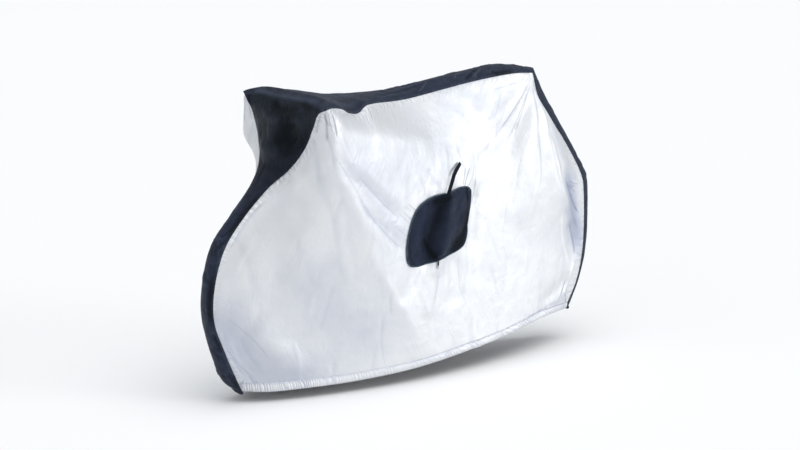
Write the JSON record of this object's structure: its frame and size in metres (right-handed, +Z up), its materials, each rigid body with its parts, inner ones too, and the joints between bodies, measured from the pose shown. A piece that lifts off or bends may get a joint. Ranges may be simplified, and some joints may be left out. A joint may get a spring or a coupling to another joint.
{
  "type": "bicycle cover",
  "caption": "Fitted, open-bottomed cloth cover for a bicycle: two silver side panels on a dark centre band, with a bound pocket, a webbing strap and a pull tab.",
  "frame": {"origin": "under the top of the cover, on its middle plane, where the bicycle's saddle holds it", "axes": "+X to the rear wheel, -Y to the side with the pocket, +Z up"},
  "size_m": [1.8243, 0.6217, 1.1383],
  "materials": {
    "silver_cloth": "silver-coated plain weave, soft satin sheen",
    "dark_cloth": "dark navy plain weave, low sheen",
    "dark_trim": "near-black webbing and piping",
    "grey_moulding": "moulded, matt"
  },
  "bodies": {
    "root": {"centre_band": "dark_cloth", "near_panel": "silver_cloth", "far_panel": "silver_cloth", "pocket": "dark_cloth", "pocket_piping": "dark_trim", "strap": "dark_trim", "pull_tab": "dark_trim", "pull_end": "grey_moulding"}
  },
  "joints": []
}
